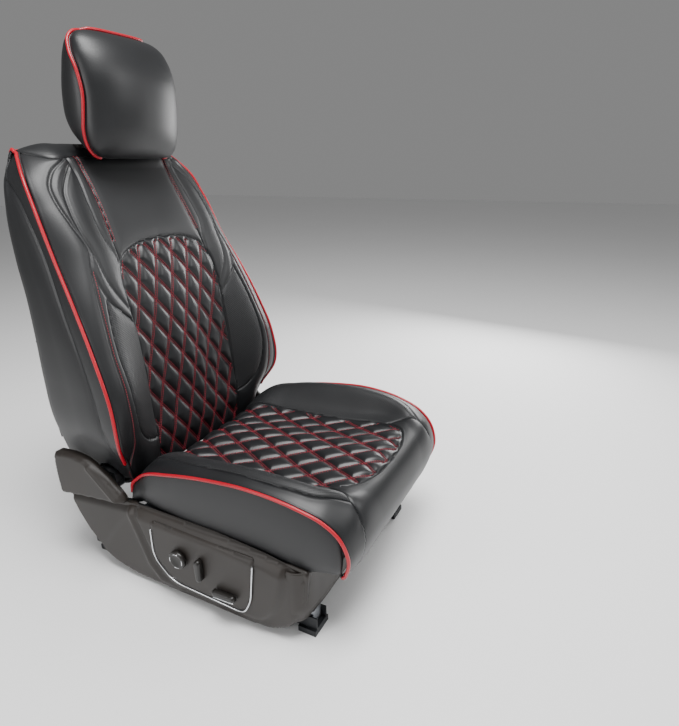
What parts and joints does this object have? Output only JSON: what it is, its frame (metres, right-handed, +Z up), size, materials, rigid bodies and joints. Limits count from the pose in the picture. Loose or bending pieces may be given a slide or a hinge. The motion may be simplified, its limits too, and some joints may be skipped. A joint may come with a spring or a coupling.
{
  "type": "seat cover set",
  "caption": "Fitted leatherette seat covers with quilted inserts and red piping on a powered front seat that slides, rises and reclines.",
  "frame": {"origin": "middle of the bounding box's footprint, on the floor that the rail feet stand on", "axes": "+Z up, -Y the way the seat faces, -X the side with the switch panel"},
  "size_m": [0.5844, 0.815, 1.1527],
  "materials": {
    "black_leatherette": "satin grained",
    "quilted_leatherette": "satin grained, quilted",
    "red_leatherette": "satin",
    "foam": "open cell",
    "moulded_plastic": "grained",
    "switch_plastic": "fine grained",
    "bright_trim": "satin",
    "black_steel": "satin",
    "bright_steel": "zinc plated"
  },
  "bodies": {
    "floor_rails": {"floor_rail_left": "black_steel", "floor_rail_right": "black_steel"},
    "carriage": {"upper_rail_left": "bright_steel", "upper_rail_right": "bright_steel", "slide_drive": "black_steel"},
    "rear_height_link": {"rear_link": "black_steel"},
    "front_height_link": {"front_link": "black_steel"},
    "cushion": {"cushion_side_left": "black_steel", "cushion_side_right": "black_steel", "side_shield_left": "moulded_plastic", "side_shield_right": "moulded_plastic", "recliner_cover_left": "moulded_plastic", "recliner_cover_right": "moulded_plastic", "cushion_pan": "black_steel", "cushion_rear_tube": "black_steel", "cushion_foam": "foam", "cushion_cover_quilted_insert": "quilted_leatherette", "cushion_cover_nose": "black_leatherette", "cushion_cover_bolster_left": "black_leatherette", "cushion_cover_bolster_right": "black_leatherette", "cushion_cover_skirt_left": "black_leatherette", "cushion_cover_skirt_right": "black_leatherette", "cushion_piping_left": "red_leatherette", "cushion_piping_right": "red_leatherette", "recliner_left": "bright_steel", "recliner_right": "bright_steel", "recliner_drive": "black_steel", "switch_panel": "moulded_plastic", "switch_panel_trim": "bright_trim"},
    "backrest": {"back_frame_left": "black_steel", "back_frame_right": "black_steel", "back_frame_top": "black_steel", "back_frame_lower_beam": "black_steel", "lumbar_mat": "switch_plastic", "back_foam": "foam", "back_cover_quilted_insert": "quilted_leatherette", "back_cover_upper_centre": "black_leatherette", "back_cover_bolster_left": "black_leatherette", "back_cover_bolster_right": "black_leatherette", "back_cover_side_left": "black_leatherette", "back_cover_side_right": "black_leatherette", "back_cover_rear": "black_leatherette", "back_cover_top": "black_leatherette", "map_pocket_left": "black_leatherette", "map_pocket_right": "black_leatherette", "back_piping": "red_leatherette", "headrest_guide_left": "switch_plastic", "headrest_guide_right": "switch_plastic"},
    "headrest": {"headrest_cover_front": "black_leatherette", "headrest_cover_back": "black_leatherette", "headrest_foam": "foam", "headrest_piping": "red_leatherette", "headrest_post_left": "bright_steel", "headrest_post_right": "bright_steel"},
    "release_button": {"headrest_release_button": "switch_plastic"},
    "lumbar_gimbal": {"lumbar_gimbal": "switch_plastic"},
    "lumbar_switch": {"lumbar_switch": "switch_plastic"},
    "recline_switch": {"recline_switch": "switch_plastic"},
    "height_rocker": {"height_rocker": "switch_plastic"},
    "travel_switch": {"travel_switch": "switch_plastic"}
  },
  "joints": [
    {"name": "seat_slide", "type": "slide", "parent": "floor_rails", "child": "carriage", "axis": [0, 1, 0], "range_m": [-0.1, 0.1]},
    {"name": "rear_link_pivot", "type": "hinge", "parent": "carriage", "child": "rear_height_link", "pos_m": [0.0028, 0.0705, 0.088], "axis": [1, 0, 0], "range_deg": [0, 35]},
    {"name": "front_link_pivot", "type": "hinge", "parent": "carriage", "child": "front_height_link", "pos_m": [0.0028, -0.2895, 0.088], "axis": [1, 0, 0], "range_deg": [0, 35]},
    {"name": "cushion_pivot", "type": "hinge", "parent": "rear_height_link", "child": "cushion", "pos_m": [0.0028, 0.1585, 0.107], "axis": [1, 0, 0], "range_deg": [-35, 0]},
    {"name": "recliner_pivot", "type": "hinge", "parent": "cushion", "child": "backrest", "pos_m": [0.0028, 0.1905, 0.225], "axis": [-1, 0, 0], "range_deg": [-8, 27]},
    {"name": "headrest_height", "type": "slide", "parent": "backrest", "child": "headrest", "axis": [0, 0.0698, 0.9976], "range_m": [0, 0.06]},
    {"name": "release_button_push", "type": "slide", "parent": "backrest", "child": "release_button", "axis": [1, 0, 0], "range_m": [0, 0.003], "stiffness_N_per_m": 1000},
    {"name": "lumbar_turn_across", "type": "hinge", "parent": "cushion", "child": "lumbar_gimbal", "pos_m": [-0.2792, -0.0375, 0.12], "axis": [0, 0, 1], "range_deg": [-4, 4], "stiffness_Nm_per_rad": 0.5},
    {"name": "lumbar_turn_up", "type": "hinge", "parent": "lumbar_gimbal", "child": "lumbar_switch", "pos_m": [-0.2792, -0.0375, 0.12], "axis": [0, 1, 0], "range_deg": [-4, 4], "stiffness_Nm_per_rad": 0.5},
    {"name": "recline_switch_turn", "type": "hinge", "parent": "cushion", "child": "recline_switch", "pos_m": [-0.2832, -0.0915, 0.112], "axis": [1, 0, 0], "range_deg": [-9, 9], "stiffness_Nm_per_rad": 0.5},
    {"name": "height_rocker_turn", "type": "hinge", "parent": "cushion", "child": "height_rocker", "pos_m": [-0.2832, -0.1515, 0.074], "axis": [1, 0, 0], "range_deg": [-6, 6], "stiffness_Nm_per_rad": 0.5},
    {"name": "travel_switch_slide", "type": "slide", "parent": "height_rocker", "child": "travel_switch", "axis": [0, 1, 0], "range_m": [-0.004, 0.004], "stiffness_N_per_m": 800}
  ],
  "couplings": [
    {"joint": "front_link_pivot", "follows": "rear_link_pivot", "ratio": 1},
    {"joint": "cushion_pivot", "follows": "rear_link_pivot", "ratio": -1}
  ]
}
